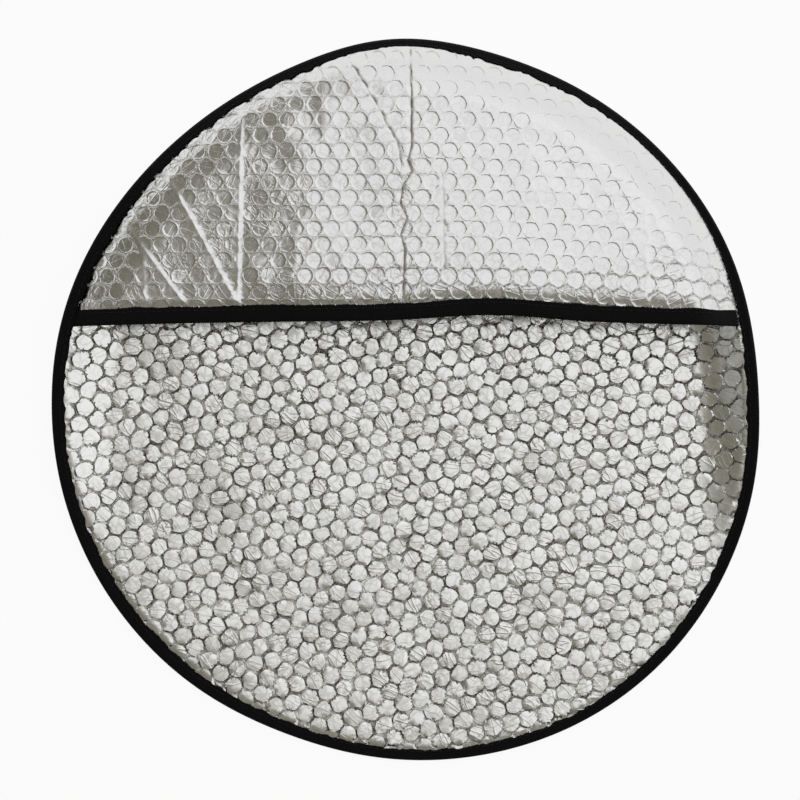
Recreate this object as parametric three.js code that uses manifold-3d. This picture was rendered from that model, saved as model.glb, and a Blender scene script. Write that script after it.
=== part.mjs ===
// A steering wheel sunshade: a round mat of bubble foil with a half-moon pocket that slips over
// the top of the wheel. Both panels are bubble film between two metallised foils, and every raw
// edge is folded into black woven tape and sewn.
//
// The shade lies on its back with the pocket up, in the form it keeps from the wheel: the seam
// around the pocket stands off the surface by half the thickness of the wheel's rim.
// Millimetres. +Z points from the mat to the pocket, +Y to the top of the wheel. The origin is
// the middle of the round, on the underside.

import * as THREE from 'three';
import { mergeVertices } from 'three/addons/utils/BufferGeometryUtils.js';
import Module from 'manifold-3d';

const wasm = await Module();
wasm.setup();

// Driving dimensions
const cutRadius = 200;
const pocketMouth = 41; // from the centre up to the mouth's lower edge, at its two ends
const mouthBow = 3; // how much higher the mouth's edge is in the middle
const mouthPull = { at: 48, by: 3.5, over: 40 }; // a stretch of the mouth's edge that rides up
const wheelRimThickness = 33; // of the steering wheel's rim that the pocket takes

// Bubble foil
const bubblePitch = 10;
const foilWeb = 2.4; // the two films, without the tops of the bubbles
const bubbleFoot = 0.4; // how far the valleys between the bubbles stand above the films
const bubbleTop = 1.4; // how far the tops of the bubbles stand above the films
const seamFoil = 1.6; // foil pressed flat where it is sewn
const bubbleMargin = 3; // from the rim's tape to the first bubbles that the seam hasn't crushed
const pinch = 1.5; // width of the pressed foil that shows beside the rim's tape

// Woven tape
const tapeThickness = 0.7;
const rimTapeWidth = 7;
const mouthTapeWidth = 9;
const clearance = 0.3;
const mouthTapeStop = 1.4; // from the rim's tape to the end of the mouth's tape
const mouthSlack = 0.6; // between the mouth's tape and the foil that it bends over the shoulders
const thickening = 12; // degrees of rim from where its tape starts to thicken to the pocket

// The form that the wheel gives the shade
const seamLift = wheelRimThickness / 2; // height of the pocket's seam above the surface
const shoulder = 26; // how far in from the seam the foil turns over the wheel's rim
const domeRise = 8; // how far the pocket's middle stands above its shoulders
const seamRoll = 40; // degrees that the seam leans back around the top of the wheel
const rollFrom = 55; // degrees either side of the pocket's span that stay level
const settle = 40; // degrees of rim from the pocket's corners down to where the mat lies flat

// How the round cut has been pulled out of true by hand: at an angle from +X, by so many
// millimetres, over so many degrees
const pulls = [
  { at: 308, by: 6.5, over: 38 },
  { at: 133, by: -5.8, over: 34 },
  { at: 92, by: 4, over: 14 },
  { at: 4, by: -3.2, over: 16 },
  { at: 180, by: -1, over: 15 },
  { at: 250, by: -1.5, over: 14 },
];

// Facets
const sectors = 40;
const sectorStep = 360 / sectors;
const mouthSteps = 8;
const matRings = [0.35, 0.7, 1].map((share) => share * shoulder);
const shoulderRings = [0.23, 0.46, 0.7, 1].map((share) => share * shoulder);
const pocketRings = [...shoulderRings, (shoulder + cutRadius) / 2];
const tall = 200; // more than any height in the model, for cutting shapes
const beyond = 2 * cutRadius; // wider than the round, for cutting shapes

const radians = THREE.MathUtils.degToRad;
const smooth = (x, from, to) => THREE.MathUtils.smoothstep(x, from, to);
const degreesBetween = (a, b) => Math.abs(((a - b + 540) % 360) - 180);

// The plan

// The mouth's lower edge is a bow that ends on the rim.
const mouthHalf = Math.sqrt(cutRadius ** 2 - pocketMouth ** 2);
const bump = (pull, distance) => pull.by * Math.exp(-((distance / pull.over) ** 2));
const mouthY = (x) =>
  pocketMouth + mouthBow * (1 - (x / mouthHalf) ** 2) + bump(mouthPull, x - mouthPull.at);
const cornerAngle = THREE.MathUtils.radToDeg(Math.asin(pocketMouth / cutRadius));

const outlineRadius = (degrees) =>
  pulls.reduce((r, pull) => r + bump(pull, degreesBetween(degrees, pull.at)), cutRadius);

// How far an angle lies above the pocket's corners, in degrees; negative below them.
const abovePocketCorner = (degrees) => 90 - cornerAngle - degreesBetween(degrees, 90);

const seamLean = (degrees) =>
  radians(seamRoll) * smooth(abovePocketCorner(degrees), 0, rollFrom);
const tapeInPlan = (degrees) => rimTapeWidth * Math.cos(seamLean(degrees));
const tapeEdgeRadius = (degrees) => outlineRadius(degrees) - tapeInPlan(degrees);

const pointAt = (degrees, radius) =>
  new THREE.Vector2(Math.cos(radians(degrees)), Math.sin(radians(degrees))).multiplyScalar(radius);

// The radius of the rim tape's inner edge, on the straight facet at this angle
function facetRadius(degrees) {
  const from = Math.floor(degrees / sectorStep) * sectorStep;
  const corner = pointAt(from, tapeEdgeRadius(from));
  const to = from + sectorStep;
  const along = pointAt(to, tapeEdgeRadius(to)).sub(corner);
  return corner.cross(along) / pointAt(degrees, 1).cross(along);
}

// Where a point lies: its angle, and how far in it is from the rim tape's inner edge
function place(x, y) {
  const degrees = (THREE.MathUtils.radToDeg(Math.atan2(y, x)) + 360) % 360;
  return { degrees, inset: facetRadius(degrees) - Math.hypot(x, y) };
}

// Heights

const seamHeight = (degrees) => seamLift * smooth(abovePocketCorner(degrees), -settle, 0);

// Share of the turn over the wheel's rim that is done at this distance in from the seam
const turned = (inset) => Math.sin((Math.PI / 2) * THREE.MathUtils.clamp(inset / shoulder, 0, 1));

// The sewn edges of the mat and the pocket, as heights above the underside of the seam
const matSeam = tapeThickness + clearance;
const pocketSeam = matSeam + seamFoil + clearance;
const pocketSeamInFoil = (foilWeb - seamFoil) / 2;

const leanDrop = (degrees, inset) => Math.min(inset, 0) * Math.tan(seamLean(degrees));

function matFloor(x, y) {
  const { degrees, inset } = place(x, y);
  return seamHeight(degrees) * (1 - turned(inset)) + leanDrop(degrees, inset);
}

function pocketFloor(x, y) {
  const { degrees, inset } = place(x, y);
  const start = seamLift + pocketSeam - pocketSeamInFoil + leanDrop(degrees, inset);
  const overTheRim = foilWeb + wheelRimThickness + 2 * clearance - start;
  const middle = 1 - (x ** 2 + y ** 2) / cutRadius ** 2;
  return start + (overTheRim + domeRise * middle) * turned(inset);
}

// Solids

function solid(geometry) {
  const bare = geometry.clone();
  for (const name of Object.keys(bare.attributes)) {
    if (name !== 'position') bare.deleteAttribute(name);
  }
  const merged = mergeVertices(bare, 1e-4);
  return new wasm.Manifold(
    new wasm.Mesh({
      numProp: 3,
      vertProperties: merged.attributes.position.array,
      triVerts: new Uint32Array(merged.index.array),
    }),
  );
}

function indexed(points, faces) {
  return new THREE.BufferGeometry()
    .setAttribute('position', new THREE.Float32BufferAttribute(points.flat(), 3))
    .setIndex(faces.flat());
}

// An upright block over a flat shape, for cutting a sheet to its plan
function block(points) {
  const geometry = new THREE.ExtrudeGeometry(new THREE.Shape(points), {
    depth: 2 * tall,
    bevelEnabled: false,
  });
  return solid(geometry.translate(0, 0, -tall));
}

// A closed sheet over the whole round, between two heights. Its rings run in from `edge`, a
// radius for each angle, and then lie at the given distances in from the tape.
function roundSheet(edge, insets, low, high) {
  const rings = [edge, ...insets.map((inset) => (degrees) => tapeEdgeRadius(degrees) - inset)];
  const points = [];
  const faces = [];
  for (const ring of rings) {
    for (let k = 0; k < sectors; k += 1) {
      const degrees = k * sectorStep;
      const { x, y } = pointAt(degrees, ring(degrees));
      points.push([x, y, low(x, y)], [x, y, high(x, y)]);
    }
  }
  const centre = points.length;
  points.push([0, 0, low(0, 0)], [0, 0, high(0, 0)]);
  const at = (ring, k, top) => 2 * (ring * sectors + (k % sectors)) + top;
  for (let k = 0; k < sectors; k += 1) {
    faces.push([at(0, k, 0), at(0, k + 1, 0), at(0, k + 1, 1)]);
    faces.push([at(0, k, 0), at(0, k + 1, 1), at(0, k, 1)]);
    for (let ring = 0; ring + 1 < rings.length; ring += 1) {
      const [a, b] = [at(ring, k, 1), at(ring, k + 1, 1)];
      const [c, d] = [at(ring + 1, k + 1, 1), at(ring + 1, k, 1)];
      faces.push([a, b, c], [a, c, d], [c - 1, b - 1, a - 1], [d - 1, c - 1, a - 1]);
    }
    const last = rings.length - 1;
    faces.push([at(last, k, 1), at(last, k + 1, 1), centre + 1]);
    faces.push([at(last, k + 1, 0), at(last, k, 0), centre]);
  }
  return solid(indexed(points, faces));
}

const bubbleReach = bubblePitch / Math.sqrt(3); // from a hexagon's middle to its corner

// A closed sheet of hexagons, one for each bubble, with the hexagon's middle at one height and
// its corners at another. `turn` is the angle of the rows of bubbles, and `bubbled` says whether
// there is a bubble at a point.
function bubbleSheet(floor, middleHeight, cornerHeight, turn, bubbled) {
  const low = foilWeb / 3;
  const rowStep = bubblePitch * Math.sin(radians(60));
  const reach = Math.ceil((cutRadius * 1.1) / rowStep);
  const rows = new THREE.Matrix4().makeRotationZ(radians(turn));
  const points = [];
  const faces = [];
  const known = new Map();
  const pointIndex = (flat, height) => {
    const key = `${flat.x.toFixed(3)} ${flat.y.toFixed(3)} ${height < low + 1e-6}`;
    if (!known.has(key)) {
      known.set(key, points.length);
      points.push([flat.x, flat.y, floor(flat.x, flat.y) + height]);
    }
    return known.get(key);
  };
  const edges = new Map();
  for (let row = -reach; row <= reach; row += 1) {
    for (let column = -reach; column <= reach; column += 1) {
      const inRow = (column + (Math.abs(row) % 2) / 2) * bubblePitch;
      const m = new THREE.Vector3(inRow, row * rowStep, 0).applyMatrix4(rows);
      if (!bubbled(m.x, m.y)) continue;
      for (let side = 0; side < 6; side += 1) {
        const corner = (k) =>
          new THREE.Vector3(0, bubbleReach, 0)
            .applyAxisAngle(new THREE.Vector3(0, 0, 1), radians(turn - 60 * k))
            .add(m);
        const [a, b] = [corner(side), corner(side + 1)];
        const top = [pointIndex(a, cornerHeight), pointIndex(b, cornerHeight)];
        const bottom = [pointIndex(a, low), pointIndex(b, low)];
        faces.push([pointIndex(m, middleHeight), top[1], top[0]]);
        faces.push([pointIndex(m, low), ...bottom]);
        // An edge that only one hexagon has is on the sheet's border.
        const key = [...bottom].sort((p, q) => p - q).join(' ');
        if (edges.has(key)) edges.delete(key);
        else edges.set(key, [top, bottom]);
      }
    }
  }
  // The sheet's border dives into the films, so that no wall stands around the bubbles.
  const border = new Set([...edges.values()].flatMap(([top]) => top));
  for (const index of border) points[index][2] -= cornerHeight - foilWeb + bubbleFoot;
  for (const [[topA, topB], [lowA, lowB]] of edges.values()) {
    faces.push([lowA, topA, topB], [lowA, topB, lowB]);
  }
  return solid(indexed(points, faces));
}

// Plans that the sheets are cut to

// The x at which the mouth's edge, moved up by an offset, is so far in from the rim's tape
function mouthCrossing(side, inset, offset) {
  let x = side * mouthHalf;
  for (let pass = 0; pass < 5; pass += 1) {
    const y = mouthY(x) + offset;
    const radius = facetRadius(place(x, y).degrees) - inset;
    x = side * Math.sqrt(radius ** 2 - y ** 2);
  }
  return x;
}

// Lines across the mouth's edge, each as its x for an offset from the edge. They follow the
// shoulder's rings where these cross it, and divide the rest evenly.
function mouthDivisions() {
  const onRings = (side) =>
    [mouthTapeStop, ...shoulderRings].map((inset) => (offset) => mouthCrossing(side, inset, offset));
  const evenly = Array.from({ length: mouthSteps - 1 }, (_, k) => (offset) => {
    const [from, to] = [-1, 1].map((side) => mouthCrossing(side, shoulder, offset));
    return THREE.MathUtils.lerp(from, to, (k + 1) / mouthSteps);
  });
  return [...onRings(-1), ...evenly, ...onRings(1).reverse()];
}
const mouthStations = mouthDivisions();

// Everything above the mouth's lower edge, moved up by an offset
function aboveMouth(offset) {
  const stations = mouthStations.map((station) => station(offset));
  const line = [-beyond, ...stations, beyond].map((x) => {
    const inside = THREE.MathUtils.clamp(x, -mouthHalf, mouthHalf);
    return new THREE.Vector2(x, mouthY(inside) + offset);
  });
  return block([...line, new THREE.Vector2(beyond, beyond), new THREE.Vector2(-beyond, beyond)]);
}

// The panels

const foilEdge = (degrees) => outlineRadius(degrees) - tapeThickness - 2 * clearance;
const fieldEdge = (degrees) => tapeEdgeRadius(degrees) - pinch;
const raised = (floor, by) => (x, y) => floor(x, y) + by;

function foilPanel(floor, rings, seamAt) {
  const field = roundSheet(fieldEdge, rings, floor, raised(floor, foilWeb));
  const sewn = roundSheet(
    foilEdge,
    [0, pinch, ...rings],
    raised(floor, seamAt),
    raised(floor, seamAt + seamFoil),
  );
  return { field, sewn };
}

const clearOfSeam = (x, y) => place(x, y).inset > bubbleMargin + bubbleReach;

// The mat: its bubbles show from under the pocket's mouth down.
function mat() {
  const rowsTurned = 15;
  const { field, sewn } = foilPanel(matFloor, matRings, matSeam);
  const bubbled = (x, y) => clearOfSeam(x, y) && y < mouthY(x) - bubbleReach;
  return field
    .add(sewn)
    .add(bubbleSheet(matFloor, foilWeb + bubbleTop, foilWeb + bubbleFoot, rowsTurned, bubbled));
}

// The pocket: its bubbles show as dents, because its flat film is outside.
function pocketPanel() {
  const { field, sewn } = foilPanel(pocketFloor, pocketRings, pocketSeamInFoil);
  const fieldStart = mouthTapeWidth + 2 * clearance;
  const bubbled = (x, y) => clearOfSeam(x, y) && y > mouthY(x) + fieldStart + bubbleReach;
  return field
    .intersect(aboveMouth(fieldStart))
    .add(sewn.intersect(aboveMouth(tapeThickness + clearance)))
    .add(bubbleSheet(pocketFloor, foilWeb + bubbleFoot, foilWeb + bubbleTop, 0, bubbled));
}

// The tapes

// The section of a tape folded in half, open at 0: how far out, and how high, each point lies
function foldedTape(width, thick) {
  const slotEnd = width - tapeThickness;
  const nose = thick / 4;
  return [
    [width - nose, 0],
    [width, thick / 2],
    [width - nose, thick],
    [0, thick],
    [0, thick - tapeThickness],
    [slotEnd, thick - tapeThickness],
    [slotEnd, tapeThickness],
    [0, tapeThickness],
    [0, 0],
  ];
}

// The same section as triangles, to close the tape's ends
const foldedTapeEnd = [
  [8, 0, 6],
  [8, 6, 7],
  [0, 1, 6],
  [1, 5, 6],
  [1, 2, 5],
  [2, 3, 4],
  [2, 4, 5],
];

// A tape's skin through its sections, set side by side. A looped tape joins its last section to
// its first. Each four points are cut into triangles along the line that the panels' own facets
// follow.
function sweep(sections, looped) {
  const count = sections[0].length;
  const faces = [];
  const steps = looped ? sections.length : sections.length - 1;
  for (let k = 0; k < steps; k += 1) {
    const next = (k + 1) % sections.length;
    for (let i = 0; i < count; i += 1) {
      const j = (i + 1) % count;
      const [a, b, c, d] = [k * count + i, k * count + j, next * count + i, next * count + j];
      if (sections[k][i].inwards) faces.push([a, c, d], [a, d, b]);
      else faces.push([a, c, b], [b, c, d]);
    }
  }
  if (!looped) {
    const last = (sections.length - 1) * count;
    for (const [a, b, c] of foldedTapeEnd) faces.push([a, b, c], [last + c, last + b, last + a]);
  }
  return solid(indexed(sections.flat().map(({ at }) => at), faces));
}

// Tape folded around the rim. It is thicker where it takes in the pocket as well as the mat.
function rimTape() {
  const matOnly = 2 * (tapeThickness + clearance) + seamFoil;
  const withPocket = matOnly + seamFoil + clearance;
  const sections = Array.from({ length: sectors }, (_, k) => {
    const degrees = k * sectorStep;
    const thick = THREE.MathUtils.lerp(
      matOnly,
      withPocket,
      smooth(abovePocketCorner(degrees), -thickening, -thickening / 3),
    );
    const points = foldedTape(tapeInPlan(degrees), thick);
    return points.map(([out, up], i) => {
      const { x, y } = pointAt(degrees, tapeEdgeRadius(degrees) + out);
      const height = seamHeight(degrees) + leanDrop(degrees, -out) + up;
      return { at: [x, y, height], inwards: out > points[(i + 1) % points.length][0] };
    });
  });
  return sweep(sections, true);
}

// Tape folded around the pocket's mouth, from one end of the rim's tape to the other
function mouthTape() {
  const around = tapeThickness + mouthSlack;
  const points = foldedTape(mouthTapeWidth, seamFoil + 2 * around);
  const sections = mouthStations.map((station) =>
    points.map(([out, up], i) => {
      const offset = mouthTapeWidth - out;
      const x = station(offset);
      const y = mouthY(x) + offset;
      const height = pocketFloor(x, y) + pocketSeamInFoil - around + up;
      return { at: [x, y, height], inwards: out > points[(i + 1) % points.length][0] };
    }),
  );
  return sweep(sections, false);
}

// Meshes

const finish = (name, color, roughness, metalness) =>
  new THREE.MeshStandardMaterial({ name, color, roughness, metalness });
const matFoil = finish('mat foil', 0xd4d4d0, 0.28, 0.9);
const pocketFoil = finish('pocket foil', 0xd4d4d0, 0.28, 0.9);
const tape = finish('woven tape', 0x151515, 0.85, 0);

function named(name, made, material) {
  const { numProp, vertProperties, triVerts } = made.getMesh();
  const interleaved = new THREE.InterleavedBuffer(vertProperties, numProp);
  const geometry = new THREE.BufferGeometry();
  geometry.setAttribute('position', new THREE.InterleavedBufferAttribute(interleaved, 3, 0));
  geometry.setIndex(new THREE.BufferAttribute(triVerts, 1));
  const mesh = new THREE.Mesh(geometry.toNonIndexed(), material);
  mesh.geometry.computeVertexNormals();
  mesh.name = name;
  return mesh;
}

const sunshade = new THREE.Group();
sunshade.name = 'steering_wheel_sunshade';
sunshade.add(
  named('foil_mat', mat(), matFoil),
  named('foil_pocket', pocketPanel(), pocketFoil),
  named('rim_tape', rimTape(), tape),
  named('mouth_tape', mouthTape(), tape),
);

export default sunshade;
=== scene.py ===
import math
import bpy
import numpy as np
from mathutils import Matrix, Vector, noise
from mathutils.geometry import delaunay_2d_cdt


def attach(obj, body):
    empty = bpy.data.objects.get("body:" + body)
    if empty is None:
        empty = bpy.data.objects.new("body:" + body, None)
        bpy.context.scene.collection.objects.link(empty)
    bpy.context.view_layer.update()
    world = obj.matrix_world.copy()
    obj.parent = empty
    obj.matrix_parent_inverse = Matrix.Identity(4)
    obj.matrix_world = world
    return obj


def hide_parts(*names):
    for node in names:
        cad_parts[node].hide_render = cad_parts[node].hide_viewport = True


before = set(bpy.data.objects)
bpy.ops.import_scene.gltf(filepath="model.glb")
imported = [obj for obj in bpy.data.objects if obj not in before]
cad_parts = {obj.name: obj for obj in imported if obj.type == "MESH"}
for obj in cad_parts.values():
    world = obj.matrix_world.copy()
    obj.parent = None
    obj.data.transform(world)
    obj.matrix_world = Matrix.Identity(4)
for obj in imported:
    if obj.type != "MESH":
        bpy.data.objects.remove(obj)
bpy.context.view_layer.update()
bpy.ops.object.select_all(action="DESELECT")

# The mat
# The round back panel: bubble film between two metallised foils, cut by hand to a 400 mm round and
# lying with its bubbles up. Use has left its edge raised around the pocket.
# Lengths here and below are in millimetres until a mesh is made.
cut_radius = 200.0
mouth_height = 41.0
mouth_half = math.sqrt(cut_radius**2 - mouth_height**2)
corner_angle = math.degrees(math.asin(mouth_height / cut_radius))
seam_lift = 16.5
shoulder = 26.0
tape_thickness = 0.7
rim_tape_width = 7.0
bubble_pitch = 10.0
lean_at_top = 40.0
foil_inset = 0.6
bubble_height = 1.6
bubble_radius = 4.42
cell_radius = 4.8
film_thickness = 2.0
crushed_thickness = 2.6
row_step = bubble_pitch * math.sin(math.radians(60))
# Each pull: the angle that it is at, how far it goes, and over how many degrees it fades. Those of
# the tape move its inner edge inward, and those of the hand move the cut's edge outward.
tape_pulls = ((226, 0.7, 20), (32, -1.9, 18), (285, -1.1, 45), (92, -0.7, 10), (165, 0.5, 25))
hand_pulls = ((308, 6.5, 38), (133, -5.8, 34), (92, 4, 14), (4, -3.2, 16), (180, -1, 15), (250, -1.5, 14))


def smooth(x, start, end):
    """0 at the start and 1 at the end, with soft turns at both"""
    t = np.clip((np.asarray(x, float) - start) / (end - start), 0, 1)
    return t * t * (3 - 2 * t)


def degrees_between(a, b):
    return np.abs((np.asarray(a, float) - b + 540) % 360 - 180)


def outline_radius(degrees):
    radius = np.full(np.shape(degrees), cut_radius)
    for at, by, over in hand_pulls:
        radius = radius + by * np.exp(-((degrees_between(degrees, at) / over) ** 2))
    return radius


def above_corner(degrees):
    """How many degrees up the outline from the nearer end of the mouth"""
    return 90 - corner_angle - degrees_between(degrees, 90)


def seam_lean(degrees):
    return math.radians(lean_at_top) * smooth(above_corner(degrees), 0, 55)


def tape_edge_radius(degrees):
    return outline_radius(degrees) - rim_tape_width * np.cos(seam_lean(degrees))


def foil_edge_radius(degrees):
    return outline_radius(degrees) - tape_thickness - foil_inset


def tape_pull(degrees):
    """How much further in than planned the tape's inner edge lies, where it was pulled askew"""
    return sum(by * np.exp(-((degrees_between(degrees, at) / over) ** 2)) for at, by, over in tape_pulls)


def mouth_y(x):
    return mouth_height + 3 * (1 - (x / mouth_half) ** 2) + 3.5 * np.exp(-(((x - 48) / 40) ** 2))


def above_mouth(points):
    """How high points lie over the mouth, or over the level of its end where they lie beyond it"""
    return points[:, 1] - mouth_y(np.clip(points[:, 0], -mouth_half, mouth_half))


def points_around(radius, degrees):
    return np.column_stack([radius * np.cos(np.radians(degrees)), radius * np.sin(np.radians(degrees))])


def angle_and_inset(x, y):
    degrees = np.degrees(np.arctan2(y, x)) % 360
    return degrees, tape_edge_radius(degrees) - np.hypot(x, y)


def seam_height(degrees):
    return seam_lift * smooth(above_corner(degrees), -40, 0)


def freed(degrees, inset):
    """How far in from the tape's inner edge, also where that was pulled outward"""
    return inset - np.minimum(tape_pull(degrees) - 0.5, 0)


def turned(inset):
    """How much of its turn from the seam to the flat the foil has made"""
    return np.sin(math.pi / 2 * np.clip(inset / shoulder, 0, 1))


def lean_drop(degrees, inset):
    """How far the foil sinks in the tape, which leans outward"""
    return np.minimum(inset, 0) * np.tan(seam_lean(degrees))


def mat_floor(x, y):
    degrees, inset = angle_and_inset(x, y)
    return seam_height(degrees) * (1 - turned(inset)) + lean_drop(degrees, inset)


def rough(x, y, size, seed):
    """Soft unevenness of about -1 to 1, with lumps of the given size"""
    return np.array([noise.noise(Vector((a / size, b / size, seed))) for a, b in zip(x, y)]) * 2


def bubble_rows(turn, bend):
    """The bubbles' middles in staggered rows, and where the six-sided cells meet"""
    reach = int(cut_radius * 1.1 / row_step) + 2
    c, s = math.cos(math.radians(turn)), math.sin(math.radians(turn))
    middles, meets = [], {}
    for row in range(-reach, reach + 1):
        for column in range(-reach, reach + 1):
            u, v = (column + (abs(row) % 2) / 2) * bubble_pitch, row * row_step
            if u * u + v * v > (cut_radius + 12) ** 2:
                continue
            middles.append((u * c - v * s, u * s + v * c))
            for k in range(12):
                a = math.radians(30 * k + 30)
                far = bubble_pitch / 2 if k % 2 else bubble_pitch / math.sqrt(3)
                p, q = u + far * math.cos(a), v + far * math.sin(a)
                meets[(round(p * 20), round(q * 20))] = (p * c - q * s, p * s + q * c)
    middles, meets = np.array(middles), np.array(list(meets.values()))
    return bend(middles), bend(meets)


def nearest_bubble(x, y, middles):
    """Each point's distance from the middle of its bubble, and which bubble that is"""
    grid = {}
    for i, (a, b) in enumerate(middles):
        grid.setdefault((int(a // 12), int(b // 12)), []).append(i)
    index = np.zeros(len(x), int)
    for j, (a, b) in enumerate(zip(x, y)):
        near = [
            i
            for da in (-1, 0, 1)
            for db in (-1, 0, 1)
            for i in grid.get((int(a // 12) + da, int(b // 12) + db), ())
        ]
        if near:
            index[j] = min(near, key=lambda i: (middles[i][0] - a) ** 2 + (middles[i][1] - b) ** 2)
    return np.hypot(x - middles[index, 0], y - middles[index, 1]), index


def sixfold(angle, turn):
    """How far a point lies across its six-sided cell, as a share of its distance from the middle"""
    return np.cos((angle - math.radians(turn) + math.pi / 6) % (math.pi / 3) - math.pi / 6)


def ring_points(middles, radii, counts, wobble, seed, turn=None):
    """Rings of points around each bubble's middle, a little out of round"""
    rng = np.random.default_rng(seed)
    start = rng.uniform(0, 2 * math.pi, (len(middles), 1))
    points = [middles]
    for radius, count in zip(radii, counts):
        a = np.arange(count) * 2 * math.pi / count + start
        r = radius * (1 + wobble * rng.standard_normal(a.shape).clip(-1.5, 1.5))
        if turn is not None:
            r = r / (0.3 + 0.7 * sixfold(a, turn))
        ring = np.stack([middles[:, :1] + r * np.cos(a), middles[:, 1:] + r * np.sin(a)], -1)
        points.append(ring.reshape(-1, 2))
    return np.concatenate(points)


def skin(outline, points):
    """A flat net of triangles over the outline through all the points"""
    n = len(outline)
    flat = [Vector(p) for p in np.concatenate([outline, points])]
    edges = [(k, (k + 1) % n) for k in range(n)]
    verts, _, faces, origins, _, _ = delaunay_2d_cdt(flat, edges, [], 1, 1e-5, True)
    place_of = {o: i for i, origin in enumerate(origins) for o in origin if o < n}
    on_outline = set(place_of.values())
    xy = np.array([tuple(v) for v in verts])
    ahead = np.roll(outline, -1, axis=0)
    made = []
    for face in faces:
        (ax, ay), (bx, by), (cx, cy) = (xy[i] for i in face)
        if all(i in on_outline for i in face):
            # Only such a triangle can lie outside, across a hollow of the outline.
            mx, my = (ax + bx + cx) / 3, (ay + by + cy) / 3
            crossed = (outline[:, 1] > my) != (ahead[:, 1] > my)
            run = (my - outline[crossed, 1]) / (ahead[crossed, 1] - outline[crossed, 1])
            at = outline[crossed, 0] + run * (ahead[crossed, 0] - outline[crossed, 0])
            if np.count_nonzero(at > mx) % 2 == 0:
                continue
        made.append(tuple(face) if (bx - ax) * (cy - ay) > (by - ay) * (cx - ax) else tuple(face[::-1]))
    return xy, made, [place_of[k] for k in range(n)]


def add_piece(name, points, faces):
    """A new piece, from points in millimetres"""
    mesh = bpy.data.meshes.new(name)
    mesh.from_pydata((np.array(points) * 0.001).tolist(), [], faces)
    piece = bpy.data.objects.new(name, mesh)
    bpy.context.scene.collection.objects.link(piece)
    return piece


def closed_sheet(name, outline, top_points, low_points, top_height, low_height):
    """A closed sheet: an upper and an under skin over one outline, joined by a wall"""
    top, top_faces, top_rim = skin(outline, top_points)
    low, low_faces, low_rim = skin(outline, low_points)
    n = len(top)
    points = np.concatenate(
        [
            np.column_stack([top, top_height(top[:, 0], top[:, 1])]),
            np.column_stack([low, low_height(low[:, 0], low[:, 1])]),
        ]
    )
    faces = top_faces + [tuple(n + i for i in face[::-1]) for face in low_faces]
    for k in range(len(outline)):
        a, b = top_rim[k], top_rim[(k + 1) % len(outline)]
        c, d = n + low_rim[k], n + low_rim[(k + 1) % len(outline)]
        faces.append((a, c, d, b))
    piece = add_piece(name, points, faces)
    piece.data.validate()
    return piece


def mark(piece, marks_at):
    """What the finish reads at each point: how much painted shade it has in folds and valleys, how
    creased it is, and its place in its own bubble"""
    points = np.array([tuple(v.co) for v in piece.data.vertices]) * 1000
    painted_shade, creased, place = marks_at(points[:, 0], points[:, 1])
    for name, kind, field, values in (
        ("painted_shade", "FLOAT", "value", painted_shade),
        ("creased", "FLOAT", "value", creased),
        ("bubble", "FLOAT_VECTOR", "vector", place * 0.001),
    ):
        attribute = piece.data.attributes.new(name, kind, "POINT")
        attribute.data.foreach_set(field, values.astype(np.float32).ravel())


def place_in_bubble(x, y, i, middles, ways):
    """Each point's place along and across the way that its bubble's strokes run"""
    across, up = x - middles[i, 0], y - middles[i, 1]
    c, s = np.cos(ways[i]), np.sin(ways[i])
    return np.column_stack([across * c + up * s, up * c - across * s, i * 7.3])


def shade(piece, angle):
    bpy.ops.object.select_all(action="DESELECT")
    piece.select_set(True)
    bpy.context.view_layer.objects.active = piece
    bpy.ops.object.shade_smooth_by_angle(angle=math.radians(angle))
    piece.select_set(False)


# The foil bulges into flat-topped bubbles that nearly meet. Each differs a little in height and
# lean, and some have kept wrinkles where they were pressed.
mat_turn = 15
mat_middles, mat_meets = bubble_rows(mat_turn, lambda p: p)
rng = np.random.default_rng(31)
mat_middles = mat_middles + rng.uniform(-0.4, 0.4, mat_middles.shape)
mat_rise = rng.uniform(0.86, 1.04, len(mat_middles))
mat_tilt = rng.normal(0, 0.009, mat_middles.shape).clip(-0.022, 0.022)
mat_wrinkled = rng.uniform(0, 1, len(mat_middles)) ** 2.2
mat_ways = rng.uniform(-1.1, 0.5, len(mat_middles))


def mat_shift(x, y):
    """How far the crumpled foil has been pushed out of its even rows"""
    much = 0.75 * smooth(angle_and_inset(x, y)[1], 3, 9)
    return np.column_stack([much * rough(x, y, 8, 3.3), much * rough(x, y, 8, 7.7)])


def mat_cell(x, y):
    """A point's bubble, its place in it, how far out it lies there, and how far the film bridges
    the gap to the next bubble of the row"""
    planned = np.column_stack([x, y])
    planned = planned - mat_shift(*(planned - mat_shift(x, y)).T)
    r, i = nearest_bubble(planned[:, 0], planned[:, 1], mat_middles)
    across, up = (planned - mat_middles[i]).T
    angle = np.arctan2(up, across)
    row = np.radians(mat_turn + 60 * smooth(x, 30, -30))
    bridge = 0.8 * smooth(np.cos(angle - row) ** 2, 0.8, 0.96) * smooth(rough(x, y, 9, 5.5), -0.3, 0.25)
    return i, across, up, r * (0.3 + 0.7 * sixfold(angle, mat_turn)), bridge


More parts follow.
